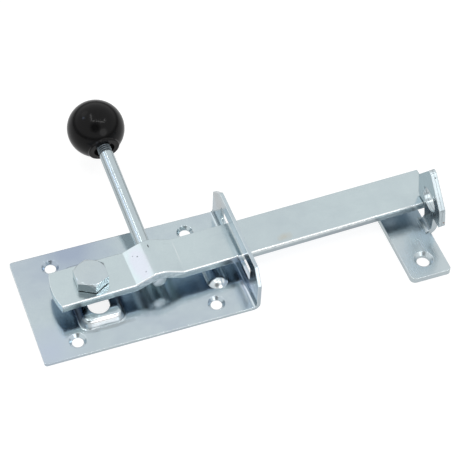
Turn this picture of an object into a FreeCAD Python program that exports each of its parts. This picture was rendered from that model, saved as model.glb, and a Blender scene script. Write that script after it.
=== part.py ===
"""Garden gate lock: a swinging latch bar on a pressed back plate, with its keeper.

The origin is the centre of the back plate's four screw holes, on the mounting face.
+X runs along the latch bar to the keeper, +Y to the ball knob, +Z away from the gate.
All sizes are in millimetres.
"""
import math
import os

import FreeCAD
import Part

V = FreeCAD.Vector
UP = V(0, 0, 1)

# Back plate, one sheet with a flange folded up at its right end
plate_width = 71.0
plate_sheet = 2.0
hole_pitch_x = 77.5
hole_pitch_y = 52.0
left_margin = 20.5
flange_margin = 21.6
plate_corner_r = 1.5
screw_hole_d = 6.2
screw_sink_d = 9.6
fold_inner_r = 2.0

# Folded flange and the slot that the bar passes through
flange_height = 28.0
front_chamfer_y = 6.8
front_chamfer_z = 9.5
rear_chamfer_y = 9.8
rear_chamfer_z = 9.0
flange_corner_r = 1.2
slot_front_y = -23.3
slot_rear_y = 22.6
slot_height = 9.7
slot_corner_r = 1.2
bar_slot_gap = 0.3

# Pressed boss under the pivot, with its adjusting slot
boss_x = -22.35
boss_width = 25.0
boss_length = 43.2
boss_rise = 5.0
boss_run = 1.9
boss_corner_r = 5.4
boss_top_fillet = 2.6
boss_foot_fillet = 1.0
adjust_slot_width = 11.8
adjust_slot_length = 33.2

# Pressed stiffening bead beside the flange
bead_x = 44.35
bead_width = 12.0
bead_length = 34.4
bead_rise = 3.0

# Pivot bolt and the pieces that hold it in the adjusting slot
pivot_x = -23.15
shank_d = 10.0
shank_gap = 0.06
head_across_flats = 17.0
head_height = 6.4
head_chamfer_deg = 30.0
washer_face_d = 15.6
washer_face_height = 0.5
bolt_tip_z = 2.4
turning_gap = 0.1
clamp_side_gap = 0.5
clamp_length = 11.2
clamp_thickness = 2.4
clamp_corner_r = 1.0

# Latch bar, with a hump pressed up over the lever rod
bar_width = 24.0
bar_thickness = 5.0
bar_underside_z = 10.75
bar_left_length = 21.7
bar_right_length = 198.0
bar_end_r = 35.0
bar_edge_r = 0.5
bar_turn_deg = 1.57
hump_slope_deg = 24.0
hump_foot_r = 4.5
hump_crest_r = 9.5

# Lever rod, level under the bar and then bent up
rod_d = 8.0
rod_x = 35.0
rod_axis_z = 11.57
rod_front_y = -10.7
rod_bend_y = 13.4
rod_bend_r = 16.0
rod_rise_deg = 10.0
rod_bar_gap = 0.05
rod_edge_chamfer = 0.5
weld_start_y = -9.0
weld_end_y = 9.5
weld_r = 2.4

# Ball knob
knob_d = 32.6
knob_reach = 82.4
knob_collar_d = 18.0
knob_collar_inset = 1.3
knob_collar_fillet = 0.5
knob_recess_d = 12.0
knob_recess_depth = 2.2
knob_stud_d = 7.0
knob_stud_length = 18.0
knob_stud_show = 2.9
knob_stud_gap = 0.08
knob_bore_clearance = 1.0

# Keeper, one thicker sheet with a lug folded up
keeper_bar_overrun = 18.25
keeper_y = -13.4
keeper_sheet = 3.5
keeper_tab_width = 23.5
keeper_tab_length = 66.2
keeper_left_corner_r = 3.0
keeper_right_corner_r = 2.0
keeper_hole_pitch = 43.0
keeper_hole_d = 7.4
keeper_sink_d = 11.0
lug_setback = 1.0
lug_lean_deg = 7.0
lug_fold_inner_r = 3.5
neck_width = 12.0
fold_front_half = 4.4
fold_rear_half = 5.6
relief_width = 1.0
head_width = 27.4
head_foot_z = 16.5
front_shoulder_z = 30.3
rear_shoulder_z = 33.0
apex_z = 51.3
apex_r = 2.2
shoulder_r = 2.5
head_foot_r = 1.6
neck_fillet_r = 1.5
padlock_hole_d = 15.0
padlock_hole_z = 26.3

# Values that follow from the sizes above
plate_left = -hole_pitch_x / 2 - left_margin
flange_outer = hole_pitch_x / 2 + flange_margin
flange_inner = flange_outer - plate_sheet
boss_top_z = plate_sheet + boss_rise
bar_top_z = bar_underside_z + bar_thickness
slot_low_z = bar_underside_z - bar_slot_gap
crest_underside_z = rod_axis_z + rod_d / 2 + rod_bar_gap
shank_hole_d = shank_d + 2 * shank_gap
knob_collar_reach = knob_d / 2 - knob_collar_inset
keeper_x = pivot_x + bar_right_length - keeper_bar_overrun
tab_right = keeper_x + keeper_tab_width / 2


def box(x0, x1, y0, y1, z0, z1):
    """Return the box between two corners."""
    return Part.makeBox(x1 - x0, y1 - y0, z1 - z0, V(x0, y0, z0))


def rounded_outline(points, radii, place):
    """Return the face of a closed outline with each corner rounded by its radius.

    points are (a, b) pairs, and place turns a pair into a vector in space.
    """
    corners = []
    count = len(points)
    for i in range(count):
        a0, b0 = points[i - 1]
        a1, b1 = points[i]
        a2, b2 = points[(i + 1) % count]
        into = V(a1 - a0, b1 - b0, 0).normalize()
        out = V(a2 - a1, b2 - b1, 0).normalize()
        turn = into.getAngle(out)
        reach = radii[i] * math.tan(turn / 2)
        corner = V(a1, b1, 0)
        start = corner - into * reach
        end = corner + out * reach
        inward = (out - into).normalize()
        middle = corner + inward * (radii[i] / math.cos(turn / 2) - radii[i])
        corners.append((start, middle, end, radii[i]))
    edges = []
    for i in range(count):
        start, middle, end, radius = corners[i]
        following = corners[(i + 1) % count][0]
        if radius > 0:
            ends = [place(p.x, p.y) for p in (start, middle, end)]
            edges.append(Part.Arc(*ends).toShape())
        edges.append(Part.LineSegment(place(end.x, end.y), place(following.x, following.y)).toShape())
    return Part.Face(Part.Wire(edges))


def rectangle(width, length, radius, centre, z):
    """Return a rounded rectangle face at height z, width along X and length along Y."""
    a, b = width / 2, length / 2
    points = [(-a, -b), (a, -b), (a, b), (-a, b)]
    return rounded_outline(points, [radius] * 4, lambda u, v: V(centre[0] + u, centre[1] + v, z))


def countersunk_hole(x, y, top_z, sheet, hole_d, sink_d):
    """Return the cutter for a screw hole with a 90 degree countersink in the top face."""
    depth = (sink_d - hole_d) / 2
    bore = Part.makeCylinder(hole_d / 2, sheet * 3, V(x, y, top_z - sheet * 2), UP)
    sink = Part.makeCone(hole_d / 2, sink_d / 2, depth, V(x, y, top_z - depth), UP)
    mouth = Part.makeCylinder(sink_d / 2, sheet, V(x, y, top_z), UP)
    return bore.fuse([sink, mouth])


def hexagon_prism(across_flats, height, centre, z, corner_deg):
    """Return a hexagonal prism with one corner at the given angle from +X."""
    radius = across_flats / math.sqrt(3)
    points = []
    for i in range(7):
        angle = math.radians(corner_deg + 60 * i)
        points.append(V(centre[0] + radius * math.cos(angle), centre[1] + radius * math.sin(angle), z))
    return Part.Face(Part.makePolygon(points)).extrude(V(0, 0, height))


def chamfer_cone(across_flats, height, centre, z, top, chamfer_deg):
    """Return the turned shape whose cone takes the corners off a hexagon's top or bottom."""
    wide = across_flats
    narrow = across_flats / 2 - 0.25
    fall = (wide - narrow) * math.tan(math.radians(chamfer_deg))
    if top:
        profile = [V(0, 0, z), V(wide, 0, z), V(wide, 0, z + height - fall), V(narrow, 0, z + height)]
        profile.append(V(0, 0, z + height))
    else:
        profile = [V(0, 0, z + height), V(wide, 0, z + height), V(wide, 0, z + fall), V(narrow, 0, z)]
        profile.append(V(0, 0, z))
    face = Part.Face(Part.makePolygon(profile + [profile[0]]))
    turned = face.revolve(V(0, 0, 0), UP, 360)
    turned.translate(V(centre[0], centre[1], 0))
    return turned


def folded_blank():
    """Return the plate's sheet: flat, then folded up with a rounded fold."""
    fold_x = flange_inner - fold_inner_r
    fold_z = plate_sheet + fold_inner_r
    width = plate_width
    flat = box(plate_left, fold_x, -width / 2, width / 2, 0, plate_sheet)
    section = box(fold_x, fold_x + 1, -width / 2, width / 2, 0, plate_sheet).Faces
    start = [f for f in section if abs(f.CenterOfMass.x - fold_x) < 1e-6][0]
    fold = start.revolve(V(fold_x, 0, fold_z), V(0, -1, 0), 90)
    upright = box(flange_inner, flange_outer, -width / 2, width / 2, fold_z, flange_height)
    return flat.fuse([fold, upright]).removeSplitter()


def flange_outline():
    """Return the body that trims the flange's top corners, seen along X."""
    half = plate_width / 2
    low = -plate_sheet
    points = [
        (-half, low),
        (half, low),
        (half, flange_height - rear_chamfer_z),
        (half - rear_chamfer_y, flange_height),
        (-half + front_chamfer_y, flange_height),
        (-half, flange_height - front_chamfer_z),
    ]
    radii = [0, 0] + [flange_corner_r] * 4
    face = rounded_outline(points, radii, lambda y, z: V(plate_left - 1, y, z))
    return face.extrude(V(flange_outer - plate_left + 2, 0, 0))


def slot_cutter():
    """Return the cutter for the flange's slot."""
    top = slot_low_z + slot_height
    points = [(slot_front_y, slot_low_z), (slot_rear_y, slot_low_z), (slot_rear_y, top), (slot_front_y, top)]
    face = rounded_outline(points, [slot_corner_r] * 4, lambda y, z: V(flange_inner - 1, y, z))
    return face.extrude(V(plate_sheet + 2, 0, 0))


def boss_wall():
    """Return the boss's wall thickness, measured level."""
    return plate_sheet / math.sin(math.atan2(boss_rise, boss_run))


def boss_shrink(z):
    """Return how far the boss's outer walls have drawn in at height z."""
    return (z - plate_sheet) * boss_run / boss_rise


def pressed_boss(inset, low_z, high_z):
    """Return the boss's sloped block between two heights, its walls set in by inset."""
    faces = []
    for z in (low_z, high_z):
        shrink = inset + boss_shrink(z)
        corner = max(boss_corner_r - shrink, 0.8)
        width = boss_width - 2 * shrink
        length = boss_length - 2 * shrink
        faces.append(rectangle(width, length, corner, (boss_x, 0), z).OuterWire)
    return Part.makeLoft(faces, True, True)


def capsule(radius, centre_z):
    """Return a lying cylinder with round ends, along Y on the bead's centre line."""
    crown_r = bead_crown_radius()
    drop = crown_r - bead_rise
    end_y = bead_length / 2 - math.sqrt(crown_r ** 2 - drop ** 2)
    body = Part.makeCylinder(radius, 2 * end_y, V(bead_x, -end_y, centre_z), V(0, 1, 0))
    ends = [Part.makeSphere(radius, V(bead_x, side * end_y, centre_z)) for side in (-1, 1)]
    return body.fuse(ends)


def bead_crown_radius():
    """Return the radius of the bead's round back, from its width and rise."""
    return ((bead_width / 2) ** 2 + bead_rise ** 2) / (2 * bead_rise)


def fillet_at(shape, radius, chosen):
    """Round the edges that the chosen test accepts."""
    edges = [e for e in shape.Edges if chosen(e)]
    return shape.makeFillet(radius, edges)


def near_boss(edge):
    """Tell whether an edge lies around the boss."""
    centre = edge.BoundBox.Center
    return abs(centre.x - boss_x) <= boss_width / 2 + 1 and abs(centre.y) <= boss_length / 2 + 1


def level_edge(edge, z):
    """Tell whether an edge lies flat at height z."""
    bounds = edge.BoundBox
    return abs(bounds.ZMin - z) < 1e-4 and abs(bounds.ZMax - z) < 1e-4


def make_back_plate():
    """Build the pressed plate: fold, flange, boss, bead and holes."""
    plate = folded_blank().common(flange_outline())
    corners = [e for e in plate.Edges if abs(e.BoundBox.Center.x - plate_left) < 1e-4 and e.BoundBox.ZLength > 1]
    plate = plate.makeFillet(plate_corner_r, corners)

    raised = pressed_boss(0, 0, boss_top_z)
    plate = plate.fuse(raised).removeSplitter()
    plate = fillet_at(plate, boss_top_fillet, lambda e: near_boss(e) and level_edge(e, boss_top_z))
    plate = fillet_at(plate, boss_foot_fillet, lambda e: near_boss(e) and level_edge(e, plate_sheet))
    plate = plate.cut(pressed_boss(boss_wall(), 0, boss_rise))

    crown_r = bead_crown_radius()
    centre_z = plate_sheet + bead_rise - crown_r
    above = box(bead_x - bead_width, bead_x + bead_width, -bead_length, bead_length, plate_sheet / 2, boss_top_z)
    plate = plate.fuse(capsule(crown_r, centre_z).common(above))
    plate = plate.cut(capsule(crown_r - plate_sheet, centre_z))

    cutters = [slot_cutter()]
    for x in (-hole_pitch_x / 2, hole_pitch_x / 2):
        for y in (-hole_pitch_y / 2, hole_pitch_y / 2):
            cutters.append(countersunk_hole(x, y, plate_sheet, plate_sheet, screw_hole_d, screw_sink_d))
    half = adjust_slot_width / 2
    run = adjust_slot_length - adjust_slot_width
    slot = box(boss_x - half, boss_x + half, -run / 2, run / 2, 0, boss_top_z + 1)
    ends = [Part.makeCylinder(half, boss_top_z + 1, V(boss_x, side * run / 2, 0), UP) for side in (-1, 1)]
    cutters.append(slot.fuse(ends))
    return plate.cut(cutters).removeSplitter()


def make_pivot_bolt():
    """Build the hexagon bolt that the bar turns on."""
    centre = (pivot_x, 0)
    seat = bar_top_z + turning_gap
    flats_z = seat + washer_face_height
    flats = head_height - washer_face_height
    head = hexagon_prism(head_across_flats, flats, centre, flats_z, 90)
    head = head.common(chamfer_cone(head_across_flats, flats, centre, flats_z, True, head_chamfer_deg))
    washer_face = Part.makeCylinder(washer_face_d / 2, washer_face_height, V(pivot_x, 0, seat), UP)
    head = head.fuse(washer_face)
    shank = Part.makeCylinder(shank_d / 2, seat - bolt_tip_z, V(pivot_x, 0, bolt_tip_z), UP)
    rim = [e for e in shank.Edges if level_edge(e, bolt_tip_z)]
    shank = shank.makeChamfer(0.6, rim)
    return head.fuse(shank).removeSplitter()


def make_lock_nut():
    """Build the thin nut between the boss and the bar."""
    height = bar_underside_z - turning_gap - boss_top_z
    centre = (pivot_x, 0)
    nut = hexagon_prism(head_across_flats, height, centre, boss_top_z, 0)
    for top in (True, False):
        nut = nut.common(chamfer_cone(head_across_flats, height, centre, boss_top_z, top, head_chamfer_deg))
    bore = Part.makeCylinder(shank_hole_d / 2, height, V(pivot_x, 0, boss_top_z), UP)
    return nut.cut(bore)


def make_clamp_plate():
    """Build the small threaded plate that grips the adjusting slot from below."""
    low = boss_rise - clamp_thickness
    width = boss_width - 2 * (boss_wall() + boss_shrink(boss_rise) + clamp_side_gap)
    plate = rectangle(width, clamp_length, clamp_corner_r, (boss_x, 0), low)
    plate = plate.extrude(V(0, 0, clamp_thickness))
    bore = Part.makeCylinder(shank_hole_d / 2, clamp_thickness, V(pivot_x, 0, low), UP)
    return plate.cut(bore)


def bent_strip(points, radii, thickness, y0, y1):
    """Return a strip bent in the XZ plane, from its middle line and bend radii.

    points are the middle line's corners (x, z); radii are its bend radii at each
    inner corner. The strip runs from y0 to y1.
    """
    def side(offset):
        edges = []
        last = None
        for i, (x, z) in enumerate(points):
            here = V(x, 0, z)
            into = (here - V(points[i - 1][0], 0, points[i - 1][1])) if i else None
            out = (V(points[i + 1][0], 0, points[i + 1][1]) - here) if i + 1 < len(points) else None
            along = (into or out).normalize()
            after = (out or into).normalize()
            normal = V(-along.z, 0, along.x)
            if into is None or out is None:
                point = here + normal * offset
                if last is not None:
                    edges.append(Part.LineSegment(last, point).toShape())
                last = point
                continue
            turn = along.getAngle(after)
            left = along.x * after.z - along.z * after.x > 0
            radius = radii[i - 1]
            start = here - along * radius * math.tan(turn / 2)
            centre = start + normal * (radius if left else -radius)
            reach = radius - offset if left else radius + offset
            spoke = (start - centre).normalize()
            second = V(-after.z, 0, after.x) * (-1 if left else 1)
            half = (spoke + second).normalize()
            p0 = centre + spoke * reach
            p1 = centre + half * reach
            p2 = centre + second * reach
            edges.append(Part.LineSegment(last, p0).toShape())
            edges.append(Part.Arc(p0, p1, p2).toShape())
            last = p2
        return edges

    low = side(-thickness / 2)
    high = side(thickness / 2)
    caps = []
    for index, end in ((0, 0), (-1, -1)):
        a = low[index].Vertexes[end].Point
        b = high[index].Vertexes[end].Point
        caps.append(Part.LineSegment(a, b).toShape())
    wire = Part.Wire(Part.__sortEdges__(low + high + caps))
    strip = Part.Face(wire).extrude(V(0, y1 - y0, 0))
    strip.translate(V(0, y0, 0))
    return strip


def in_place(shape):
    """Turn a piece of the lever from its own frame to its rest position."""
    placed = shape.copy()
    placed.rotate(V(0, 0, 0), UP, bar_turn_deg)
    placed.translate(V(pivot_x, 0, 0))
    return placed


def bar_shape():
    """Build the latch bar in its own frame, with the pivot at its origin."""
    slope = math.radians(hump_slope_deg)
    middle_z = bar_underside_z + bar_thickness / 2
    crest_middle_z = crest_underside_z + bar_thickness / 2
    vertex_z = crest_middle_z + hump_crest_r * (1 / math.cos(slope) - 1)
    run = (vertex_z - middle_z) / math.tan(slope)
    far_left = -bar_left_length - bar_end_r
    points = [
        (far_left, middle_z),
        (rod_x - run, middle_z),
        (rod_x, vertex_z),
        (rod_x + run, middle_z),
        (bar_right_length, middle_z),
    ]
    radii = [hump_foot_r, hump_crest_r, hump_foot_r]
    half = bar_width / 2
    strip = bent_strip(points, radii, bar_thickness, -half, half)
    end_cut = Part.makeCylinder(bar_end_r, 4 * bar_thickness, V(bar_end_r - bar_left_length, 0, 0), UP)
    keep = end_cut.fuse(box(0, bar_right_length, -half, half, 0, 4 * bar_thickness + bar_underside_z))
    shape = strip.common(keep)
    rims = [e for e in shape.Edges if abs(e.BoundBox.YMax - e.BoundBox.YMin) < 1e-4 and e.BoundBox.XLength > 1e-4]
    shape = shape.makeFillet(bar_edge_r, rims)
    bore = Part.makeCylinder(shank_hole_d / 2, 4 * bar_thickness, V(0, 0, 0), UP)
    return shape.cut(bore)


def rod_directions():
    """Return the rod's bend point, its rising direction and the ball's centre."""
    rise = math.radians(rod_rise_deg)
    bend = V(rod_x, rod_bend_y, rod_axis_z)
    along = V(0, math.cos(rise), math.sin(rise))
    return bend, along, bend + along * knob_reach


def rod_shape():
    """Build the lever rod: level, one bend, then rising into the knob."""
    bend, along, centre = rod_directions()
    reach = rod_bend_r * math.tan(math.radians(rod_rise_deg) / 2)
    level_end = bend - V(0, reach, 0)
    rising_start = bend + along * reach
    start = V(rod_x, rod_front_y, rod_axis_z)
    shoulder = centre - along * (knob_collar_reach + knob_stud_show)
    half_rise = math.radians(rod_rise_deg) / 2
    arc_centre = level_end + V(0, 0, rod_bend_r)
    middle = arc_centre + V(0, math.sin(half_rise), -math.cos(half_rise)) * rod_bend_r
    path = Part.Wire([
        Part.LineSegment(start, level_end).toShape(),
        Part.Arc(level_end, middle, rising_start).toShape(),
        Part.LineSegment(rising_start, shoulder).toShape(),
    ])
    circle = Part.Wire(Part.makeCircle(rod_d / 2, start, V(0, 1, 0)))
    body = path.makePipeShell([circle], True, True)
    front = [e for e in body.Edges if abs(e.BoundBox.YMax - rod_front_y) < 1e-4]
    body = body.makeChamfer(rod_edge_chamfer, front)
    stud = Part.makeCylinder(knob_stud_d / 2, knob_stud_length, shoulder, along)
    return body.fuse(stud).removeSplitter()


def knob_shape():
    """Build the moulded ball with its collar, recess and blind bore."""
    along, centre = rod_directions()[1:]
    rim = centre - along * knob_collar_reach
    outside = Part.makeCylinder(knob_d, knob_d, rim - along * knob_d, along)
    ball = Part.makeSphere(knob_d / 2, centre).cut(outside)
    collar = Part.makeCylinder(knob_collar_d / 2, knob_collar_reach, rim, along)
    knob = ball.fuse(collar).removeSplitter()
    mouth = Part.makeCylinder(knob_recess_d / 2, knob_recess_depth, rim, along)
    bore_length = knob_stud_length - knob_stud_show + knob_bore_clearance
    bore = Part.makeCylinder(knob_stud_d / 2 + knob_stud_gap, bore_length, rim, along)
    knob = knob.cut([mouth, bore])
    rounded = [e for e in knob.Edges if abs(e.Length - math.pi * knob_collar_d) < 0.01]
    return knob.makeFillet(knob_collar_fillet, rounded)


def weld_shapes():
    """Build the two weld beads in the nooks between the rod and the bar."""
    bar = bar_shape()
    rod = rod_shape()
    beads = []
    length = weld_end_y - weld_start_y
    for side in (-1, 1):
        x = rod_x + side * (rod_d / 2 + weld_r * 0.2)
        z = crest_underside_z - weld_r * 0.9
        bead = Part.makeCylinder(weld_r, length, V(x, weld_start_y, z), V(0, 1, 0))
        bead = bead.cut([rod, bar])
        solids = sorted(bead.Solids, key=lambda s: s.Volume)
        beads.append(solids[-1])
    return Part.makeCompound(beads)


def lug_outline(base_z):
    """Return the lug's flat outline from its neck up, measured along the lug from base_z."""
    stretch = 1 / math.cos(math.radians(lug_lean_deg))
    heights = (head_foot_z, front_shoulder_z, rear_shoulder_z, apex_z)
    foot, front_shoulder, rear_shoulder, apex = [(z - base_z) * stretch for z in heights]
    neck, head = neck_width / 2, head_width / 2
    points = [
        (-fold_front_half, 0),
        (fold_rear_half, 0),
        (neck, foot),
        (head, foot),
        (head, rear_shoulder),
        (0, apex),
        (-head, front_shoulder),
        (-head, foot),
        (-neck, foot),
    ]
    radii = [0, 0, neck_fillet_r, head_foot_r, shoulder_r, apex_r, shoulder_r, head_foot_r, neck_fillet_r]
    return rounded_outline(points, radii, lambda y, z: V(0, keeper_y + y, z)), stretch


def make_keeper():
    """Build the keeper: screw tab, bent neck and arrow-shaped lug."""
    lean = math.radians(lug_lean_deg)
    inner_r = lug_fold_inner_r
    centre_z = keeper_sheet + inner_r
    tangent_z = centre_z + inner_r * math.sin(lean)
    inner_x = tab_right + lug_setback
    tangent_x = inner_x - (tangent_z - keeper_sheet) * math.tan(lean)
    fold_x = tangent_x - inner_r * math.cos(lean)

    half = keeper_tab_length / 2
    left = keeper_x - keeper_tab_width / 2
    points = [(left, keeper_y - half), (tab_right, keeper_y - half)]
    points += [(tab_right, keeper_y + half), (left, keeper_y + half)]
    radii = [keeper_left_corner_r, keeper_right_corner_r, keeper_right_corner_r, keeper_left_corner_r]
    tab = rounded_outline(points, radii, lambda x, y: V(x, y, 0)).extrude(V(0, 0, keeper_sheet))
    front = keeper_y - fold_front_half
    rear = keeper_y + fold_rear_half
    tab = tab.cut(box(fold_x, tab_right + 1, front - relief_width, rear + relief_width, -1, keeper_sheet + 1))

    section = box(fold_x, fold_x + 1, front, rear, 0, keeper_sheet).Faces
    start = [f for f in section if abs(f.CenterOfMass.x - fold_x) < 1e-6][0]
    fold = start.revolve(V(fold_x, 0, centre_z), V(0, -1, 0), 90 + lug_lean_deg)

    outline, stretch = lug_outline(tangent_z)
    lug = outline.extrude(V(keeper_sheet, 0, 0))
    hole_z = (padlock_hole_z - tangent_z) * stretch
    hole = Part.makeCylinder(padlock_hole_d / 2, keeper_sheet * 3, V(-keeper_sheet, keeper_y, hole_z), V(1, 0, 0))
    lug = lug.cut(hole)
    lug.rotate(V(0, 0, 0), V(0, 1, 0), -lug_lean_deg)
    lug.translate(V(tangent_x, 0, tangent_z))

    keeper = tab.fuse([fold, lug]).removeSplitter()
    holes = []
    for side in (-1, 1):
        y = keeper_y + side * keeper_hole_pitch / 2
        holes.append(countersunk_hole(keeper_x, y, keeper_sheet, keeper_sheet, keeper_hole_d, keeper_sink_d))
    return keeper.cut(holes)


def main():
    """Build every piece and write one file for each."""
    os.makedirs("parts", exist_ok=True)
    pieces = {
        "back_plate": make_back_plate(),
        "pivot_bolt": make_pivot_bolt(),
        "lock_nut": make_lock_nut(),
        "clamp_plate": make_clamp_plate(),
        "latch_bar": in_place(bar_shape()),
        "lever_rod": in_place(rod_shape()),
        "rod_welds": in_place(weld_shapes()),
        "ball_knob": in_place(knob_shape()),
        "keeper": make_keeper(),
    }
    for name, shape in pieces.items():
        bounds = shape.BoundBox
        print(name, "valid", shape.isValid(), "solids", len(shape.Solids), "volume", round(shape.Volume, 1))
        print("   box", [round(v, 2) for v in (bounds.XMin, bounds.YMin, bounds.ZMin)],
              [round(v, 2) for v in (bounds.XMax, bounds.YMax, bounds.ZMax)])
        shape.exportStep(f"parts/{name}.step")


main()
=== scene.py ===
"""Garden gate lock, dressed for the picture: bright zinc over formed steel, and a black ball knob.

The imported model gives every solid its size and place. This script gives each one the
finish of the real piece, lays the weld beads and the rod's thread over their plain
solids, and sets up the floor, the light and the camera. Names that end in _mm hold
millimetres, and every other length is in metres.
"""

import logging
import math
from dataclasses import dataclass
from enum import Enum

import bmesh
import bpy
from mathutils import Matrix, Vector


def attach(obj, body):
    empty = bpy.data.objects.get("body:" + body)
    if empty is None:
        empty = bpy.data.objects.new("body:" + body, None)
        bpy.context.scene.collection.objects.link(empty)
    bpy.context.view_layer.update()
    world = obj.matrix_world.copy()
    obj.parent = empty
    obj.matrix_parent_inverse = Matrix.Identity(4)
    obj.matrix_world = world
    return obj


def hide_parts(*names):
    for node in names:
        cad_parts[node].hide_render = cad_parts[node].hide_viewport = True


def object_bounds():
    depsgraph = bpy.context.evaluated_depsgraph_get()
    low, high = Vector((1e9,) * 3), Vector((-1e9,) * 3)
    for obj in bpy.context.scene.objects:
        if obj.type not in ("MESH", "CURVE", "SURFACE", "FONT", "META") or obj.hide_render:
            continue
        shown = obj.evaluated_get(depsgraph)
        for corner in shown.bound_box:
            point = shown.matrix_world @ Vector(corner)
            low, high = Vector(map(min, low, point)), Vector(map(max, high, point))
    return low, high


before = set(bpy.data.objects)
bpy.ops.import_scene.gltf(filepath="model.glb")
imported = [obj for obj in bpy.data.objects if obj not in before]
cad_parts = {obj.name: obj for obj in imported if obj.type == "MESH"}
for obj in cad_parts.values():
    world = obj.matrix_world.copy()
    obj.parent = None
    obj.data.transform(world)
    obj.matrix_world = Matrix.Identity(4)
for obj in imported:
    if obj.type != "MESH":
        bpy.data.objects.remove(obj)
cad_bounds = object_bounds()

MM = 0.001
PICTURE_PX = 460
# Power of an area lamp, in watts for each square metre of it, at a radiance of 1.
LAMP_WATTS = 4.0
# How fast the fine detail of a random pattern fades against its coarse detail.
PATTERN_FADE = 0.55
# The values of a random pattern between which something fades in, softly or in clearer patches.
SOFT = (0.3, 0.7)
STEEP = (0.35, 0.65)
# How many rays look for an edge near each point.
EDGE_RAYS = 12
# Numbers of the Mix node's sockets: its share, the two colours, and the mixed colour.
MIX_SHARE = 0
MIX_UNDER = 6
MIX_OVER = 7
MIX_COLOUR = 2

log = logging.getLogger("gate_lock")

Tree = bpy.types.NodeTree
Socket = bpy.types.NodeSocket
Colour = tuple[float, float, float, float]
Triple = tuple[float, float, float]
Ring = list[Vector]


class Grain(Enum):
    """The way in which a piece was rolled or drawn, as the stretch of its lines along each axis."""

    ALONG_X = (0.03, 1.0, 1.0)
    ALONG_Y = (1.0, 0.03, 1.0)
    NONE = (1.0, 1.0, 1.0)


def linear(hex_colour: str) -> Colour:
    """Turn an sRGB hex colour into linear RGBA.

    Args:
        hex_colour: a colour such as "#C0CCD0".

    Returns:
        Red, green, blue and an alpha of 1.
    """
    parts = []
    for start in (1, 3, 5):
        value = int(hex_colour[start:start + 2], 16) / 255
        parts.append(value / 12.92 if value <= 0.04045 else ((value + 0.055) / 1.055) ** 2.4)
    return (*parts, 1.0)


def add_node(
    tree: Tree, kind: str, inputs: dict | None = None, out: int | str = 0, **settings: object,
) -> Socket | None:
    """Add a node with its settings, and set or link its inputs.

    Args:
        tree: the node tree that takes the node.
        kind: the node's type name.
        inputs: a value or an output socket for each input, by name or number.
        out: which of the node's outputs to give back, by name or number.
        settings: the node's own properties.

    Returns:
        The chosen output, or None for a node that has no output.
    """
    node = tree.nodes.new(kind)
    for name, value in settings.items():
        setattr(node, name, value)
    for name, value in (inputs or {}).items():
        if isinstance(value, Socket):
            tree.links.new(value, node.inputs[name])
        else:
            node.inputs[name].default_value = value
    return node.outputs[out] if node.outputs else None


def new_material(name: str) -> tuple[bpy.types.Material, Tree]:
    """Make a material with an empty node tree.

    Args:
        name: the material's name.

    Returns:
        The material and its tree.
    """
    material = bpy.data.materials.new(name)
    material.use_nodes = True
    material.node_tree.nodes.clear()
    return material, material.node_tree


@dataclass(frozen=True)
class Wash:
    """A colour laid over another one: none of it at the pattern's rim value, and most where it is full."""

    pattern: Socket
    rim: float
    full: float
    most: float
    colour: str

    def over(self, tree: Tree, under: Socket | Colour) -> Socket:
        """Lay the wash.

        Args:
            tree: the material's node tree.
            under: the colour that it is laid over.

        Returns:
            The mixed colour.
        """
        share = add_node(tree, "ShaderNodeMapRange", {
            "Value": self.pattern, "From Min": self.rim, "From Max": self.full, "To Max": self.most,
        })
        inputs = {MIX_SHARE: share, MIX_UNDER: under, MIX_OVER: linear(self.colour)}
        return add_node(tree, "ShaderNodeMix", inputs, MIX_COLOUR, data_type="RGBA")


@dataclass(frozen=True)
class Spot:
    """A mark at one place of a piece: a pit, a fleck, a patch where the film has another tint, or a patch of
    painted highlight, shade or reflection.

    It fills a ragged ellipsoid. A stretch above 1 narrows it along that axis, and core
    is the share of its radius within which it shows in full.
    """

    place_mm: Triple
    radius_mm: float
    colour: str
    stretch: Triple = (1.0, 1.0, 1.0)
    core: float = 0.55
    rag_size: float = 0.8

    def wash(self, tree: Tree, place: Socket) -> Wash:
        """Turn the mark into a wash of its colour.

        Args:
            tree: the material's node tree.
            place: the point on the piece.

        Returns:
            A wash by the distance from the mark's middle, with its rim broken up.
        """
        radius = self.radius_mm * MM
        middle = tuple(value * MM for value in self.place_mm)
        offset = add_node(tree, "ShaderNodeVectorMath", {0: place, 1: middle}, operation="SUBTRACT")
        squeezed = add_node(tree, "ShaderNodeVectorMath", {0: offset, 1: self.stretch}, operation="MULTIPLY")
        far = add_node(tree, "ShaderNodeVectorMath", {0: squeezed}, "Value", operation="LENGTH")
        rag = add_node(tree, "ShaderNodeTexNoise", {
            "Vector": place, "Scale": 1 / (radius * self.rag_size), "Detail": 3.0, "Roughness": PATTERN_FADE,
        })
        inputs = {0: rag, 1: radius, 2: -radius / 2}
        reach = add_node(tree, "ShaderNodeMath", inputs, operation="MULTIPLY_ADD")
        ragged = add_node(tree, "ShaderNodeMath", {0: far, 1: reach}, operation="ADD")
        return Wash(ragged, radius, radius * self.core, 1.0, self.colour)


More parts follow.
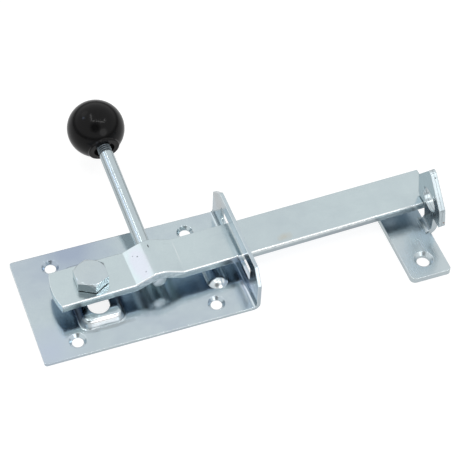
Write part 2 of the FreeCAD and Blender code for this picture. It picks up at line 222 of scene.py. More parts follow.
@dataclass(frozen=True)
class EdgeLine:
    """A thin line along an edge: a sheared edge's dark break, or a painted highlight along a bar's arris.

    It lies in a plane at depth_mm behind the point through_mm, wavers a little along
    the edge, and stops below lowest_mm.
    """

    through_mm: Triple
    normal: Triple
    depth_mm: float
    width_mm: float = 0.22
    core: float = 0.0
    waver_mm: float = 0.25
    waver_size_mm: float = 2.4
    lowest_mm: float = 12.0
    fade_mm: float = 1.0
    most: float = 0.9
    colour: str = "#7E878B"

    def wash(self, tree: Tree, place: Socket) -> Wash:
        """Turn the line into a wash of its colour.

        Args:
            tree: the material's node tree.
            place: the point on the piece.

        Returns:
            A wash that is full along the line.
        """
        through = tuple(value * MM for value in self.through_mm)
        offset = add_node(tree, "ShaderNodeVectorMath", {0: place, 1: through}, operation="SUBTRACT")
        inputs = {0: offset, 1: self.normal}
        into = add_node(tree, "ShaderNodeVectorMath", inputs, "Value", operation="DOT_PRODUCT")
        waver = add_node(tree, "ShaderNodeTexNoise", {
            "Vector": place, "Scale": 1 / (self.waver_size_mm * MM), "Detail": 3.0, "Roughness": PATTERN_FADE,
        })
        shift = add_node(tree, "ShaderNodeMapRange", {
            "Value": waver, "From Min": SOFT[0], "From Max": SOFT[1],
            "To Min": (-self.waver_mm - self.depth_mm) * MM, "To Max": (self.waver_mm - self.depth_mm) * MM,
        })
        away = add_node(tree, "ShaderNodeMath", {0: into, 1: shift}, operation="ADD")
        far = add_node(tree, "ShaderNodeMath", {0: away}, operation="ABSOLUTE")
        near = add_node(tree, "ShaderNodeMapRange", {
            "Value": far, "From Min": self.width_mm * MM, "From Max": self.width_mm * self.core * MM,
            "To Max": self.most,
        })
        height = add_node(tree, "ShaderNodeSeparateXYZ", {0: place}, "Z")
        above = add_node(tree, "ShaderNodeMapRange", {
            "Value": height,
            "From Min": self.lowest_mm * MM, "From Max": (self.lowest_mm + self.fade_mm) * MM,
        })
        line = add_node(tree, "ShaderNodeMath", {0: near, 1: above}, operation="MULTIPLY")
        return Wash(line, 0.0, 1.0, 1.0, self.colour)


@dataclass(frozen=True)
class BrightZinc:
    """Bright electroplated zinc with a clear blue passivate, over cold-formed steel.

    The bath levels the steel, so that it mirrors softly like polished metal. The
    passivate film drifts from grey-green to lavender, the rolling or drawing lines
    still show as faint streaks, and edges are brighter than the faces, partly by wear
    and partly by a painted highlight. The real lines are some hundredths of a millimetre
    apart, too fine for the picture, so they are drawn at grain_mm, about twenty times as
    coarse. The sheet's warp and the bath's orange peel keep their real size. An edge is
    found by how far the normal, rounded off over edge_mm, turns from the flat one:
    edge_turn holds the cosines between which the edges' worn colour and painted highlight
    fade in.
    """

    name: str
    base: str = "#BFCDD0"
    drift: str = "#B4C0CA"
    bright: str = "#CBD8DA"
    # The edges' colour: partly rubbed wear, partly a painted highlight.
    rubbed: str = "#EEF4F4"
    rubbed_most: float = 0.7
    roughness: float = 0.15
    haze: float = 0.05
    haze_mm: float = 15.3
    grain: Grain = Grain.NONE
    grain_mm: float = 0.7
    streak: float = 0.08
    streak_roughness: tuple[float, float] = (-0.02, 0.03)
    streak_depth: float = 0.3
    drift_mm: float = 55.0
    cloud_mm: float = 9.0
    cloud_most: float = 0.35
    mottle_mm: float = 1.5
    mottle_most: float = 0.22
    peel_mm: float = 1.1
    peel_depth_mm: float = 0.0012
    warp_mm: float = 38.0
    warp_depth_mm: float = 0.05
    pit_mm: float = 4.2
    pit_radius_mm: float = 0.16
    pit_depth_mm: float = 0.03
    pit_choice: tuple[float, float] = (0.66, 0.9)
    pit_dark: str = "#5E666C"
    edge_mm: float = 0.45
    edge_turn: tuple[float, float] = (0.995, 0.86)
    spots: tuple[Spot, ...] = ()
    edge_line: EdgeLine | None = None

    def dress(self) -> bpy.types.Material:
        """Build the finish as a material.

        Returns:
            The new material.
        """
        material, tree = new_material(self.name)
        place = add_node(tree, "ShaderNodeTexCoord", out="Object")
        rounded = add_node(tree, "ShaderNodeBevel", {"Radius": self.edge_mm * MM}, samples=EDGE_RAYS)
        patterns = self.patterns(tree, place)
        shader = add_node(tree, "ShaderNodeBsdfPrincipled", {
            "Base Color": self.film_colour(tree, place, patterns, rounded),
            "Metallic": 1.0,
            "Roughness": self.surface_roughness(tree, patterns),
            "Normal": self.relief(tree, patterns, rounded),
        })
        add_node(tree, "ShaderNodeOutputMaterial", {"Surface": shader})
        return material

    def patterns(self, tree: Tree, place: Socket) -> dict[str, Socket]:
        """Draw the random patterns of the surface, each at its size in millimetres.

        Args:
            tree: the material's node tree.
            place: the point on the piece.

        Returns:
            Each pattern by its name.
        """
        inputs = {0: place, 1: self.grain.value}
        rolled = add_node(tree, "ShaderNodeVectorMath", inputs, operation="MULTIPLY")
        rows = (
            ("drift", place, self.drift_mm, 2.0),
            ("cloud", place, self.cloud_mm, 3.0),
            ("haze", place, self.haze_mm, 3.0),
            ("mottle", place, self.mottle_mm, 3.0),
            ("streaks", rolled, self.grain_mm, 4.0),
            ("warp", place, self.warp_mm, 1.0),
            ("peel", place, self.peel_mm, 3.0),
        )
        drawn = {"pits": self.pits(tree, place)}
        for name, vector, size_mm, detail in rows:
            drawn[name] = add_node(tree, "ShaderNodeTexNoise", {
                "Vector": vector, "Scale": 1 / (size_mm * MM), "Detail": detail, "Roughness": PATTERN_FADE,
            })
        return drawn

    def pits(self, tree: Tree, place: Socket) -> Socket:
        """Scatter small pits, one in about every fourth cell of a random lattice.

        Args:
            tree: the material's node tree.
            place: the point on the piece.

        Returns:
            How deep in a pit the point is, from 0 to 1.
        """
        distance = add_node(tree, "ShaderNodeTexVoronoi", {
            "Vector": place, "Scale": 1 / (self.pit_mm * MM),
        }, "Distance")
        near = add_node(tree, "ShaderNodeMapRange", {
            "Value": distance, "From Min": self.pit_radius_mm / self.pit_mm, "From Max": 0.0,
        })
        pick = add_node(tree, "ShaderNodeSeparateColor", {0: distance.node.outputs["Color"]})
        chosen = add_node(tree, "ShaderNodeMapRange", {
            "Value": pick, "From Min": self.pit_choice[0], "From Max": self.pit_choice[1],
        })
        return add_node(tree, "ShaderNodeMath", {0: near, 1: chosen}, operation="MULTIPLY")

    def film_colour(self, tree: Tree, place: Socket, patterns: dict[str, Socket], rounded: Socket) -> Socket:
        """Lay the film's drift and streaks, the edges' wear and painted highlight, the pits and the single
        marks over the base.

        Args:
            tree: the material's node tree.
            place: the point on the piece.
            patterns: the surface's patterns by name.
            rounded: the normal with the edges rounded off.

        Returns:
            The plating's colour.
        """
        flat = add_node(tree, "ShaderNodeNewGeometry", out="Normal")
        inputs = {0: rounded, 1: flat}
        flatness = add_node(tree, "ShaderNodeVectorMath", inputs, "Value", operation="DOT_PRODUCT")
        washes = [
            Wash(patterns["drift"], *STEEP, 1.0, self.drift),
            Wash(patterns["cloud"], *SOFT, self.cloud_most, self.bright),
            Wash(patterns["mottle"], *STEEP, self.mottle_most, self.drift),
            Wash(patterns["streaks"], *STEEP, self.streak, self.drift),
            # The edges: partly rubbed wear, partly a painted highlight.
            Wash(flatness, *self.edge_turn, self.rubbed_most, self.rubbed),
            Wash(patterns["pits"], 0.0, 1.0, 1.0, self.pit_dark),
        ]
        washes += [spot.wash(tree, place) for spot in self.spots]
        if self.edge_line:
            washes.append(self.edge_line.wash(tree, place))
        colour = linear(self.base)
        for wash in washes:
            colour = wash.over(tree, colour)
        return colour

    def surface_roughness(self, tree: Tree, patterns: dict[str, Socket]) -> Socket:
        """Work out the roughness, with hazy patches and the rougher streaks.

        Args:
            tree: the material's node tree.
            patterns: the surface's patterns by name.

        Returns:
            The roughness.
        """
        haze = add_node(tree, "ShaderNodeMapRange", {
            "Value": patterns["haze"], "From Min": SOFT[0], "From Max": SOFT[1], "To Max": self.haze,
        })
        smoothest, roughest = self.streak_roughness
        lines = add_node(tree, "ShaderNodeMapRange", {
            "Value": patterns["streaks"], "From Min": SOFT[0], "From Max": SOFT[1],
            "To Min": self.roughness + smoothest, "To Max": self.roughness + roughest,
        })
        return add_node(tree, "ShaderNodeMath", {0: haze, 1: lines}, operation="ADD")

    def relief(self, tree: Tree, patterns: dict[str, Socket], rounded: Socket) -> Socket:
        """Bend the normal by the sheet's warp, the orange peel, the rolling lines and the pits.

        Args:
            tree: the material's node tree.
            patterns: the surface's patterns by name.
            rounded: the normal with the edges rounded off.

        Returns:
            The bent normal.
        """
        normal = rounded
        for name, depth_mm in (
            ("warp", self.warp_depth_mm),
            ("peel", self.peel_depth_mm),
            ("streaks", self.peel_depth_mm * self.streak_depth),
            ("pits", -self.pit_depth_mm),
        ):
            normal = add_node(tree, "ShaderNodeBump", {
                "Height": patterns[name], "Distance": abs(depth_mm) * MM, "Strength": 1.0, "Normal": normal,
            }, invert=depth_mm < 0)
        return normal


@dataclass(frozen=True)
class BlackMoulding:
    """Black phenolic moulding, polished in its mould.

    It is deep black and glossy, with the faint unevenness of a moulded skin and fine
    wiping marks, so that reflections on it are sharp but slightly broken. Phenolic's
    own IOR is nearer 1.6, and is lowered to match the ball's dim reflections.
    """

    name: str = "black_phenolic_moulding"
    base: str = "#060607"
    dust: str = "#1C1D20"
    dust_most: float = 0.25
    dust_limits: tuple[float, float] = (0.55, 0.8)
    roughness: float = 0.14
    ior: float = 1.27
    skin_mm: float = 3.2
    skin_depth_mm: float = 0.006
    wipe_mm: float = 0.5
    wipe_way: Triple = (1.0, 0.08, 0.6)
    wipe_limits: tuple[float, float] = (0.35, 0.7)
    wipe_roughness: tuple[float, float] = (-0.03, 0.08)

    def dress(self) -> bpy.types.Material:
        """Build the finish as a material.

        Returns:
            The new material.
        """
        material, tree = new_material(self.name)
        place = add_node(tree, "ShaderNodeTexCoord", out="Object")
        skin = add_node(tree, "ShaderNodeTexNoise", {
            "Vector": place, "Scale": 1 / (self.skin_mm * MM), "Detail": 2.0,
        })
        wiped = add_node(tree, "ShaderNodeVectorMath", {0: place, 1: self.wipe_way}, operation="MULTIPLY")
        wipes = add_node(tree, "ShaderNodeTexNoise", {
            "Vector": wiped, "Scale": 1 / (self.wipe_mm * MM), "Detail": 4.0,
        })
        smoothest, roughest = self.wipe_roughness
        rough = add_node(tree, "ShaderNodeMapRange", {
            "Value": wipes, "From Min": self.wipe_limits[0], "From Max": self.wipe_limits[1],
            "To Min": self.roughness + smoothest, "To Max": self.roughness + roughest,
        })
        dusted = Wash(wipes, *self.dust_limits, self.dust_most, self.dust)
        relief = add_node(tree, "ShaderNodeBump", {
            "Height": skin, "Distance": self.skin_depth_mm * MM, "Strength": 1.0,
        })
        shader = add_node(tree, "ShaderNodeBsdfPrincipled", {
            "Base Color": dusted.over(tree, linear(self.base)),
            "Roughness": rough,
            "IOR": self.ior,
            "Normal": relief,
        })
        add_node(tree, "ShaderNodeOutputMaterial", {"Surface": shader})
        return material


def build_mesh(name: str, rings: list[Ring]) -> bpy.types.Object:
    """Skin a run of rings into one smooth closed piece.

    Args:
        name: the piece's name.
        rings: rings of points, all with the same count, in metres.

    Returns:
        The new object, linked to the scene.
    """
    mesh = bmesh.new()
    rows = [[mesh.verts.new(point) for point in ring] for ring in rings]
    count = len(rows[0])
    for near, far in zip(rows, rows[1:]):
        for i in range(count):
            j = (i + 1) % count
            mesh.faces.new((near[i], near[j], far[j], far[i]))
    mesh.faces.new(list(reversed(rows[0])))
    mesh.faces.new(rows[-1])
    bmesh.ops.recalc_face_normals(mesh, faces=mesh.faces)
    data = bpy.data.meshes.new(name)
    mesh.to_mesh(data)
    mesh.free()
    for polygon in data.polygons:
        polygon.use_smooth = True
    piece = bpy.data.objects.new(name, data)
    bpy.context.scene.collection.objects.link(piece)
    return piece


@dataclass(frozen=True)
class LeverPlace:
    """Where the lever's own frame lies: the pivot is its origin, and the bar runs along its X."""

    pivot_x_mm: float = -23.15
    turn_deg: float = 1.57

    def matrix(self) -> Matrix:
        """Return the matrix from the lever's frame to the whole lock's."""
        turn = Matrix.Rotation(math.radians(self.turn_deg), 4, "Z")
        return Matrix.Translation((self.pivot_x_mm * MM, 0, 0)) @ turn


@dataclass(frozen=True)
class WeldBead:
    """One weld bead in the nook between the rod and the bar, rippled by its run.

    The ripples lag toward the bead's two flanks, and the bead is rounded off at both
    ends, down to a blunt tip.
    """

    rod_x_mm: float = 35.0
    offset_mm: float = 4.48
    height_mm: float = 13.46
    radius_mm: float = 2.4
    start_mm: float = -10.5
    end_mm: float = 9.5
    ripple_mm: float = 1.5
    ripple_depth_mm: float = 0.22
    ripple_lag: float = 0.5
    end_round_mm: float = 1.8
    tip_share: float = 0.12
    row_mm: float = 0.15
    sides: int = 28

    def rings(self, side: int, place: Matrix) -> list[Ring]:
        """Work out the bead's rings from its front end to its rear end.

        Args:
            side: -1 for the bead on the rod's left, 1 for the one on its right.
            place: the matrix from the lever's frame to the whole lock's.

        Returns:
            Rings of points in the whole lock's frame.
        """
        run_mm = self.end_mm - self.start_mm
        rows = round(run_mm / self.row_mm)
        rings = []
        for row in range(rows + 1):
            y = self.start_mm + run_mm * row / rows
            ring = []
            for k in range(self.sides):
                angle = 2 * math.pi * k / self.sides
                lag = self.ripple_lag * math.cos(angle) ** 2
                wave = ((y / self.ripple_mm + lag) % 1.0) ** 2
                radius = (self.radius_mm - self.ripple_depth_mm * wave) * self.end_scale(y)
                x = self.rod_x_mm + side * self.offset_mm + radius * math.cos(angle)
                z = self.height_mm + radius * math.sin(angle)
                ring.append(place @ Vector((x * MM, y * MM, z * MM)))
            rings.append(ring)
        return rings

    def end_scale(self, y: float) -> float:
        """Work out how far the bead has filled out at one place of its run.

        Args:
            y: the place along the rod, in millimetres.

        Returns:
            A share of the full radius.
        """
        from_end = min(y - self.start_mm, self.end_mm - y)
        if from_end >= self.end_round_mm:
            return 1.0
        short = 1 - from_end / self.end_round_mm
        return max(math.sqrt(1 - short * short), self.tip_share)


@dataclass(frozen=True)
class RodThread:
    """The cut thread between the rod's shoulder and the knob.

    Its flanks are a little steeper than a plain zigzag, by flank, which leaves a
    narrow flat along its root and another along its crest.
    """

    rod_x_mm: float = 35.0
    bend_y_mm: float = 13.4
    axis_z_mm: float = 11.57
    rise_deg: float = 10.0
    shoulder_mm: float = 64.5
    length_mm: float = 4.9
    crest_mm: float = 3.92
    root_mm: float = 3.3
    pitch_mm: float = 1.25
    flank: float = 1.3
    root_flat: float = 0.1
    row_mm: float = 0.1
    sides: int = 48

    def rings(self, place: Matrix) -> list[Ring]:
        """Work out the thread's rings from the shoulder to its far end.

        Args:
            place: the matrix from the lever's frame to the whole lock's.

        Returns:
            Rings of points in the whole lock's frame.
        """
        rise = math.radians(self.rise_deg)
        along = Vector((0, math.cos(rise), math.sin(rise)))
        side = Vector((1, 0, 0))
        over = along.cross(side)
        bend = Vector((self.rod_x_mm, self.bend_y_mm, self.axis_z_mm))
        rows = round(self.length_mm / self.row_mm)
        rings = []
        for row in range(rows + 1):
            reach_mm = self.length_mm * row / rows
            middle = bend + along * (self.shoulder_mm + reach_mm)
            ring = []
            for k in range(self.sides):
                turn = k / self.sides
                phase = (reach_mm / self.pitch_mm - turn) % 1.0
                zigzag = 1 - abs(2 * phase - 1)
                height = min(max(zigzag * self.flank - self.root_flat, 0.0), 1.0)
                radius = self.root_mm + (self.crest_mm - self.root_mm) * height
                angle = 2 * math.pi * turn
                point = middle + side * radius * math.cos(angle) + over * radius * math.sin(angle)
                ring.append(place @ (point * MM))
            rings.append(ring)
        return rings


def dress_node(node: str, material: bpy.types.Material) -> None:
    """Give a solid of the frame its material.

    Args:
        node: the solid's name.
        material: its finish.
    """
    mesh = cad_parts[node].data
    mesh.materials.clear()
    mesh.materials.append(material)
    log.info("%s dressed in %s", node, material.name)


def ride_lever(piece: bpy.types.Object, material: bpy.types.Material) -> None:
    """Give an added piece its material and let it turn with the lever.

    Args:
        piece: the added piece.
        material: its finish.
    """
    piece.data.materials.append(material)
    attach(piece, "lever")
    log.info("%s added in %s", piece.name, material.name)


@dataclass
class BackPlate:
    """The pressed back plate with its flange, boss and bead."""

    # Cold-rolled sheet, blanked, folded and pressed before it was plated. It looks nearly like a
    # mirror, with the sheet's long waves in it and hardly a streak. Painted reflections make it
    # bluer toward the rear left and dark in the nooks beside the boss, and painted highlights lie
    # on the boss and the bead.
    finish: BrightZinc = BrightZinc(
        name="zinc_plated_pressed_sheet", roughness=0.14,
        grain=Grain.ALONG_X, grain_mm=0.9, streak=0.05,
        spots=(
            # Bluer painted reflection over the rear left of the plate, and a little at its front left corner.
            Spot((-25.0, 34.0, 2.0), 30.0, "#A3B0C2", core=0.1),
            Spot((-54.0, -27.0, 2.0), 22.0, "#BAC6D4", core=0.0),
            # Dark painted reflection in the nooks at the boss's left and right walls.
            Spot((-33.8, -9.0, 4.4), 12.0, "#3F4C5C", (2.4, 1.0, 2.0)),
            Spot((-10.9, -9.0, 4.4), 12.0, "#3F4C5C", (3.0, 1.0, 2.0)),
            # A painted highlight on the boss's front wall, and a darker line of painted shade round its foot.
            Spot((-21.0, -20.8, 4.6), 8.0, "#FFFFFF", (0.75, 2.5, 1.6)),
            Spot((-20.5, -22.4, 2.2), 14.0, "#A3AEB3", (1.0, 7.0, 6.0)),
            # A painted highlight on the front end of the bead.
            Spot((44.3, -14.2, 4.0), 6.5, "#DBE3E6", core=0.4),
            # Painted reflection on the flange's inner face: bluer low down and in the middle, and greyer at
            # its rear end.
            Spot((57.3, -16.0, 12.0), 20.0, "#DCE4F4", (8.0, 1.0, 1.0), 0.1),
            Spot((57.3, 0.0, 19.0), 23.0, "#F4F8FF", (14.0, 1.0, 1.6), 0.35),
            Spot((57.3, 27.0, 21.0), 14.0, "#B0B2B2", (9.0, 1.0, 1.0), 0.5),
        ),
    )

    def build(self) -> None:
        """Dress the plate."""
        dress_node("back_plate", self.finish.dress())


@dataclass
class Pivot:
    """The hexagon bolt, the lock nut and the clamp plate."""

    # Cold-headed and rolled, then plated in a barrel. The head is as bright as the sheet, but
    # even: it has no grain, and its small corners are rubbed by the other bolts in the barrel
    # and carry a painted highlight.
    finish: BrightZinc = BrightZinc(
        name="zinc_plated_cold_headed_bolt", base="#BFCACD", roughness=0.14,
        pit_mm=3.0, edge_mm=0.3, warp_depth_mm=0.0,
    )

    def build(self) -> None:
        """Dress the bolt and the pieces below it."""
        material = self.finish.dress()
        for node in ("pivot_bolt", "lock_nut", "clamp_plate"):
            dress_node(node, material)


@dataclass
class Keeper:
    """The keeper with its screw tab and arrow-shaped lug."""

    # Thicker plate, sheared and folded before it was plated. It is flatter than the thin sheet
    # and has coarser steel under the zinc, which makes it paler and its reflections softer.
    finish: BrightZinc = BrightZinc(
        name="zinc_plated_thick_pressing", base="#C6D1D3", drift="#BCC7CD", roughness=0.22,
        grain=Grain.ALONG_Y, grain_mm=0.9, warp_depth_mm=0.02,
        spots=(
            # A fleck of rust low on the lug's front edge.
            Spot((169.9, -26.9, 20.6), 0.75, "#8A6A55"),
            # Dark specks along the sheared edge, up to the lug's point.
            Spot((168.6, -24.6, 36.4), 0.42, "#3E4347"),
            Spot((169.0, -22.6, 40.1), 0.36, "#4A4F52"),
            Spot((168.4, -27.0, 30.2), 0.36, "#5A5F63"),
            Spot((166.2, -16.4, 47.2), 0.5, "#555B60"),
            Spot((169.3, -20.6, 41.6), 0.3, "#4A4F52"),
        ),
        # The break between the smooth and the torn part of the sheared edge.
        edge_line=EdgeLine(through_mm=(169.35, 0.0, 3.5), normal=(0.9925, 0.0, 0.1219), depth_mm=1.75),
    )

    def build(self) -> None:
        """Dress the keeper."""
        dress_node("keeper", self.finish.dress())


@dataclass
class Lever:
    """The latch bar, the rod under it, the weld beads and the ball knob."""

    place: LeverPlace = LeverPlace()
    # Hot-rolled and pickled flat bar, pressed up over the rod and then plated. Its faces are a
    # little duller and more streaked than the sheet, with small pits left by the scale.
    bar_finish: BrightZinc = BrightZinc(
        name="zinc_plated_rolled_flat_bar", base="#C4D2D5", drift="#BAC7CC", roughness=0.17,
        grain=Grain.ALONG_X, grain_mm=1.1, streak=0.1, warp_depth_mm=0.03,
        pit_mm=2.6, pit_radius_mm=0.14, edge_mm=0.6,
        spots=(
            # Bluer painted shade on the bar's underside, and below the hump.
            Spot((60.0, 0.0, 9.9), 200.0, "#BFCCDC", (1.0, 1.0, 110.0)),
            Spot((12.0, 0.0, 14.0), 18.0, "#BFCCDC", (1.0, 1.6, 9.0)),
            # Painted reflection: the bar's front side, greyer toward the keeper.
            Spot((122.0, -8.0, 12.2), 80.0, "#A6B0B6", (1.0, 8.0, 26.0), 0.4),
            # A painted highlight along the bend at the hump's right foot.
            Spot((26.0, 3.3, 15.75), 10.0, "#D5DDDF", (24.0, 1.0, 4.0), 0.0),
            # Lavender film on the hump's left slope.
            Spot((4.6, 0.6, 18.2), 13.0, "#C4C9D2", (2.4, 0.9, 1.0)),
            # The dark mark at the rear end of the hump's crest.
            Spot((11.6, 8.7, 20.4), 0.9, "#4A4E50", (2.2, 0.6, 1.0)),
            # Three pits on the left slope.
            Spot((4.4, 5.2, 18.4), 0.5, "#6F757C"),
            Spot((2.4, 6.8, 17.4), 0.45, "#7F858C"),
            Spot((5.6, -6.4, 18.8), 0.45, "#7F858C"),
            # A faint brown stain to the right of the flange.
            Spot((85.3, -4.9, 15.75), 4.2, "#BFC2BC", (0.75, 1.3, 1.0), 0.1),
        ),
        # A painted highlight along the upper front arris.
        edge_line=EdgeLine(
            through_mm=(-23.15, 0.0, 0.0), normal=(-0.0274, 0.9996, 0.0), depth_mm=-11.66,
            width_mm=0.4, core=0.75, waver_mm=0.05, lowest_mm=13.5, colour="#F6FAFB",
        ),
    )
    # Round bar, drawn through a die, which leaves strong fine lines along it. They blur the
    # reflections across the rod. Its sawn front end carries a painted highlight.
    rod_finish: BrightZinc = BrightZinc(
        name="zinc_plated_drawn_rod", base="#C6D2D5", drift="#B5C1C6", roughness=0.2,
        grain=Grain.ALONG_Y, grain_mm=0.8, streak=0.4, warp_depth_mm=0.01,
        # A painted highlight on the rod's sawn front end.
        spots=(Spot((12.1, -10.7, 11.57), 5.0, "#FFFFFF", (1.0, 3.0, 1.0)),),
    )
    # Weld metal, brushed free of slag and plated with the rest. The zinc takes badly on it, so
    # that it is darker and has a rough, grainy skin.
    weld_finish: BrightZinc = BrightZinc(
        name="zinc_plated_weld_bead", base="#A9B5B9", drift="#8F9AA2", roughness=0.3,
        peel_mm=0.7, peel_depth_mm=0.02, warp_depth_mm=0.0, edge_mm=0.2,
    )
    # Thread cut after the drawing: duller than the rod, and darker as painted shade from the knob's recess.
    thread_finish: BrightZinc = BrightZinc(
        name="cut_thread_painted_shade", base="#8B959A", drift="#737D83", bright="#949EA2", roughness=0.3,
        warp_depth_mm=0.0, edge_mm=0.1,
    )
    knob_finish: BlackMoulding = BlackMoulding()
    bead: WeldBead = WeldBead()
    thread: RodThread = RodThread()

    def build(self) -> None:
        """Dress the lever's solids, and add the welds and the thread."""
        dress_node("latch_bar", self.bar_finish.dress())
        dress_node("lever_rod", self.rod_finish.dress())
        dress_node("ball_knob", self.knob_finish.dress())
        weld = self.weld_finish.dress()
        for side, name in ((-1, "weld_bead_left"), (1, "weld_bead_right")):
            piece = build_mesh(name, self.bead.rings(side, self.place.matrix()))
            ride_lever(piece, weld)
            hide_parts("rod_welds")
        thread = build_mesh("rod_thread", self.thread.rings(self.place.matrix()))
        ride_lever(thread, self.thread_finish.dress())


@dataclass(frozen=True)
class SoftBox:
    """A round soft lamp, placed by the direction in which the lock sees it."""

    name: str
    direction: Triple
    width: float
    radiance: float
    colour: str = "#FFFFFF"
    distance: float = 2.0

    def hang(self, target: Vector) -> None:
        """Hang the lamp so that it faces the lock.

        Args:
            target: the middle of the lock.
        """
        lamp = bpy.data.lights.new(self.name, "AREA")
        lamp.shape = "DISK"
        lamp.size = self.width
        lamp.energy = self.radiance * LAMP_WATTS * math.pi * (self.width / 2) ** 2
        lamp.color = linear(self.colour)[:3]
        stand = bpy.data.objects.new(self.name, lamp)
        away = Vector(self.direction).normalized()
        stand.location = target + away * self.distance
        stand.rotation_euler = away.to_track_quat("Z", "Y").to_euler()
        bpy.context.scene.collection.objects.link(stand)


@dataclass(frozen=True)
class TentSeam:
    """A thin bright gap along a seam of the tent, between two directions."""

    name: str
    start: Triple
    end: Triple
    distance: float = 1.6
    width: float = 0.035
    radiance: float = 10.0

    def hang(self, target: Vector) -> None:
        """Hang the strip along its seam, facing the lock.

        Args:
            target: the middle of the lock.
        """
        first, last = Vector(self.start).normalized(), Vector(self.end).normalized()
        away = (first + last).normalized()
        along = (last - first) - away * (last - first).dot(away)
        lamp = bpy.data.lights.new(self.name, "AREA")
        lamp.shape = "RECTANGLE"
        lamp.size = along.length * self.distance
        lamp.size_y = self.width
        lamp.energy = self.radiance * LAMP_WATTS * lamp.size * lamp.size_y
        stand = bpy.data.objects.new(self.name, lamp)
        along.normalize()
        turn = Matrix((along, away.cross(along), away)).transposed().to_4x4()
        stand.matrix_world = Matrix.Translation(target + away * self.distance) @ turn
        bpy.context.scene.collection.objects.link(stand)


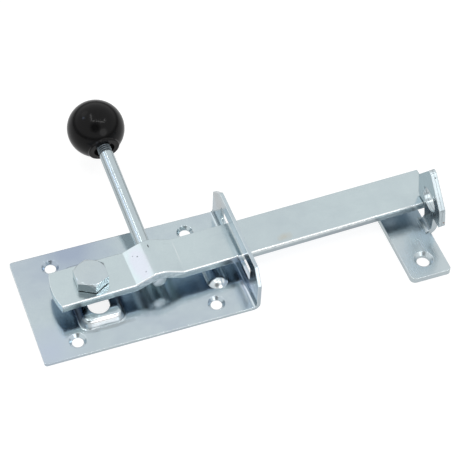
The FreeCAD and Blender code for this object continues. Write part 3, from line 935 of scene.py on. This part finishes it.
@dataclass(frozen=True)
class Studio:
    """A white tent with soft boxes, and a white floor that keeps the lock's shadow.

    The zinc shows the tent as a mirror does: dim at its foot, dark where it opens
    toward the front, and bright along its seams.
    """

    target: Triple = (0.055, 0.02, 0.01)
    diffuse_level: float = 0.62
    mirror_level: float = 1.0
    foot_level: float = 0.35
    foot_heights: tuple[float, float] = (0.06, 0.24)
    opening: Triple = (-0.208, -0.603, 0.770)
    opening_level: float = 0.25
    opening_rim: tuple[float, float] = (0.9, 0.985)
    boxes: tuple[SoftBox | TentSeam, ...] = (
        SoftBox("rear_left_box", (-0.433, 0.603, 0.670), 0.75, 0.36),
        SoftBox("rear_left_lamp", (-0.61, 0.38, 0.69), 0.26, 3.5, "#C8DAFF"),
        SoftBox("front_box", (0.25, -0.86, 0.44), 1.05, 0.97),
        TentSeam("seam_left", (-0.186, 0.414, 0.891), (-0.325, -0.091, 0.941)),
        TentSeam("seam_front", (-0.325, -0.091, 0.941), (0.424, -0.352, 0.834)),
        TentSeam("seam_right", (0.424, -0.352, 0.834), (0.551, -0.081, 0.831)),
    )
    floor_width: float = 6.0
    floor_drop: float = 0.0003
    floor_colour: str = "#F4F4F4"
    floor_seen_colour: str = "#A0A0A0"
    floor_glow_seen: float = 0.82
    floor_glow_near: float = 0.58
    floor_glow_far: float = 0.05
    floor_fade: tuple[float, float] = (0.25, 0.8)

    def build(self) -> None:
        """Set the colours to plain, then make the world, the lamps and the floor."""
        bpy.context.scene.view_settings.view_transform = "Standard"
        self.build_world()
        for box in self.boxes:
            box.hang(Vector(self.target))
        self.build_floor()

    def build_world(self) -> None:
        """Make the tent: white for the camera and for mirrors, plain for the rest."""
        world = bpy.data.worlds.new("white_tent")
        bpy.context.scene.world = world
        world.use_nodes = True
        tree = world.node_tree
        tree.nodes.clear()
        level = add_node(tree, "ShaderNodeMapRange", {
            "Value": self.seen_directly(tree), "To Min": self.diffuse_level, "To Max": self.mirrored(tree),
        })
        inputs = {"Color": linear("#FFFFFF"), "Strength": level}
        background = add_node(tree, "ShaderNodeBackground", inputs)
        add_node(tree, "ShaderNodeOutputWorld", {"Surface": background})

    def mirrored(self, tree: Tree) -> Socket:
        """Work out the tent's level by direction: dim at its foot and dark at its front opening.

        Args:
            tree: the world's node tree.

        Returns:
            The level that the camera and the mirrors see.
        """
        way = add_node(tree, "ShaderNodeTexCoord", out="Generated")
        height = add_node(tree, "ShaderNodeSeparateXYZ", {0: way}, "Z")
        foot = add_node(tree, "ShaderNodeMapRange", {
            "Value": height, "From Min": self.foot_heights[0], "From Max": self.foot_heights[1],
            "To Min": self.foot_level, "To Max": self.mirror_level,
        }, interpolation_type="SMOOTHSTEP")
        inputs = {0: way, 1: self.opening}
        toward = add_node(tree, "ShaderNodeVectorMath", inputs, "Value", operation="DOT_PRODUCT")
        gap = add_node(tree, "ShaderNodeMapRange", {
            "Value": toward, "From Min": self.opening_rim[0], "From Max": self.opening_rim[1],
            "To Min": 1.0, "To Max": self.opening_level,
        }, interpolation_type="SMOOTHSTEP")
        return add_node(tree, "ShaderNodeMath", {0: foot, 1: gap}, operation="MULTIPLY")

    def seen_directly(self, tree: Tree) -> Socket:
        """Tell rays from the camera, or by way of a mirror or glass, from all others.

        Args:
            tree: the node tree of the world or the floor.

        Returns:
            1 for such a ray, and 0 for the rest.
        """
        camera = add_node(tree, "ShaderNodeLightPath", out="Is Camera Ray")
        rays = camera.node.outputs
        inputs = {0: camera, 1: rays["Is Glossy Ray"]}
        first = add_node(tree, "ShaderNodeMath", inputs, operation="MAXIMUM")
        inputs = {0: first, 1: rays["Is Transmission Ray"]}
        return add_node(tree, "ShaderNodeMath", inputs, operation="MAXIMUM")

    def floor_glow(self, tree: Tree) -> Socket:
        """Work out the floor's own light: even for the camera, fading away from the lock in mirrors.

        Args:
            tree: the floor's node tree.

        Returns:
            The strength of its light.
        """
        place = add_node(tree, "ShaderNodeTexCoord", out="Object")
        far = add_node(tree, "ShaderNodeVectorMath", {0: place}, "Value", operation="LENGTH")
        fading = add_node(tree, "ShaderNodeMapRange", {
            "Value": far, "From Min": self.floor_fade[0], "From Max": self.floor_fade[1],
            "To Min": self.floor_glow_near, "To Max": self.floor_glow_far,
        })
        camera = add_node(tree, "ShaderNodeLightPath", out="Is Camera Ray")
        inputs = {"Value": camera, "To Min": fading, "To Max": self.floor_glow_seen}
        return add_node(tree, "ShaderNodeMapRange", inputs)

    def floor_finish(self) -> bpy.types.Material:
        """Build the matt white board that the lock lies on.

        For the eye and for mirrors it is a greyer board with a light of its own, so that
        it looks white, and only the lock's shadow darkens it a little.

        Returns:
            The new material.
        """
        material, tree = new_material("white_floor")
        seen = self.seen_directly(tree)
        shade = add_node(tree, "ShaderNodeMix", {
            MIX_SHARE: seen, MIX_UNDER: linear(self.floor_colour), MIX_OVER: linear(self.floor_seen_colour),
        }, MIX_COLOUR, data_type="RGBA")
        board = add_node(tree, "ShaderNodeBsdfDiffuse", {"Color": shade})
        inputs = {"Value": seen, "To Min": 0.0, "To Max": self.floor_glow(tree)}
        strength = add_node(tree, "ShaderNodeMapRange", inputs)
        glow = add_node(tree, "ShaderNodeEmission", {"Strength": strength})
        both = add_node(tree, "ShaderNodeAddShader", {0: board, 1: glow})
        add_node(tree, "ShaderNodeOutputMaterial", {"Surface": both})
        return material

    def build_floor(self) -> None:
        """Lay the floor just under the mounting faces."""
        mesh = bmesh.new()
        bmesh.ops.create_grid(mesh, x_segments=1, y_segments=1, size=self.floor_width / 2)
        bmesh.ops.translate(mesh, verts=mesh.verts, vec=(0, 0, cad_bounds[0][2] - self.floor_drop))
        data = bpy.data.meshes.new("floor")
        mesh.to_mesh(data)
        mesh.free()
        data.materials.append(self.floor_finish())
        floor = bpy.data.objects.new("floor", data)
        bpy.context.scene.collection.objects.link(floor)
        log.info("floor laid")


@dataclass(frozen=True)
class PhotoCamera:
    """The camera, placed as the photograph's edges and holes say."""

    aim_mm: Triple = (40.75, 10.0, 0.0)
    azimuth_deg: float = -22.364
    elevation_deg: float = 50.072
    roll_deg: float = 2.961
    distance_mm: float = 908.08
    slide_mm: tuple[float, float] = (17.78, 13.73)
    focal_px: float = 1648.31
    sensor_mm: float = 36.0
    clip_start: float = 0.05

    def build(self) -> None:
        """Make the camera and use it."""
        azimuth = math.radians(self.azimuth_deg)
        elevation = math.radians(self.elevation_deg)
        roll = math.radians(self.roll_deg)
        level_right = Vector((math.cos(azimuth), math.sin(azimuth), 0))
        level_back = Vector((math.sin(azimuth), -math.cos(azimuth), 0))
        back = level_back * math.cos(elevation) + Vector((0, 0, math.sin(elevation)))
        level_up = back.cross(level_right)
        right = level_right * math.cos(roll) + level_up * math.sin(roll)
        up = level_up * math.cos(roll) - level_right * math.sin(roll)
        spot = Vector(self.aim_mm) + back * self.distance_mm
        spot += right * self.slide_mm[0] + up * self.slide_mm[1]
        data = bpy.data.cameras.new("photo_camera")
        data.sensor_width = self.sensor_mm
        data.lens = self.focal_px / PICTURE_PX * self.sensor_mm
        data.clip_start = self.clip_start
        camera = bpy.data.objects.new("photo_camera", data)
        turn = Matrix((right, up, back)).transposed().to_4x4()
        camera.matrix_world = Matrix.Translation(spot * MM) @ turn
        bpy.context.scene.collection.objects.link(camera)
        bpy.context.scene.camera = camera


def main() -> None:
    """Dress the lock and set up the studio."""
    logging.basicConfig(level=logging.INFO)
    for assembly in (BackPlate(), Pivot(), Keeper(), Lever()):
        assembly.build()
        log.info("%s done", type(assembly).__name__)
    Studio().build()
    PhotoCamera().build()


if __name__ == "__main__":
    main()
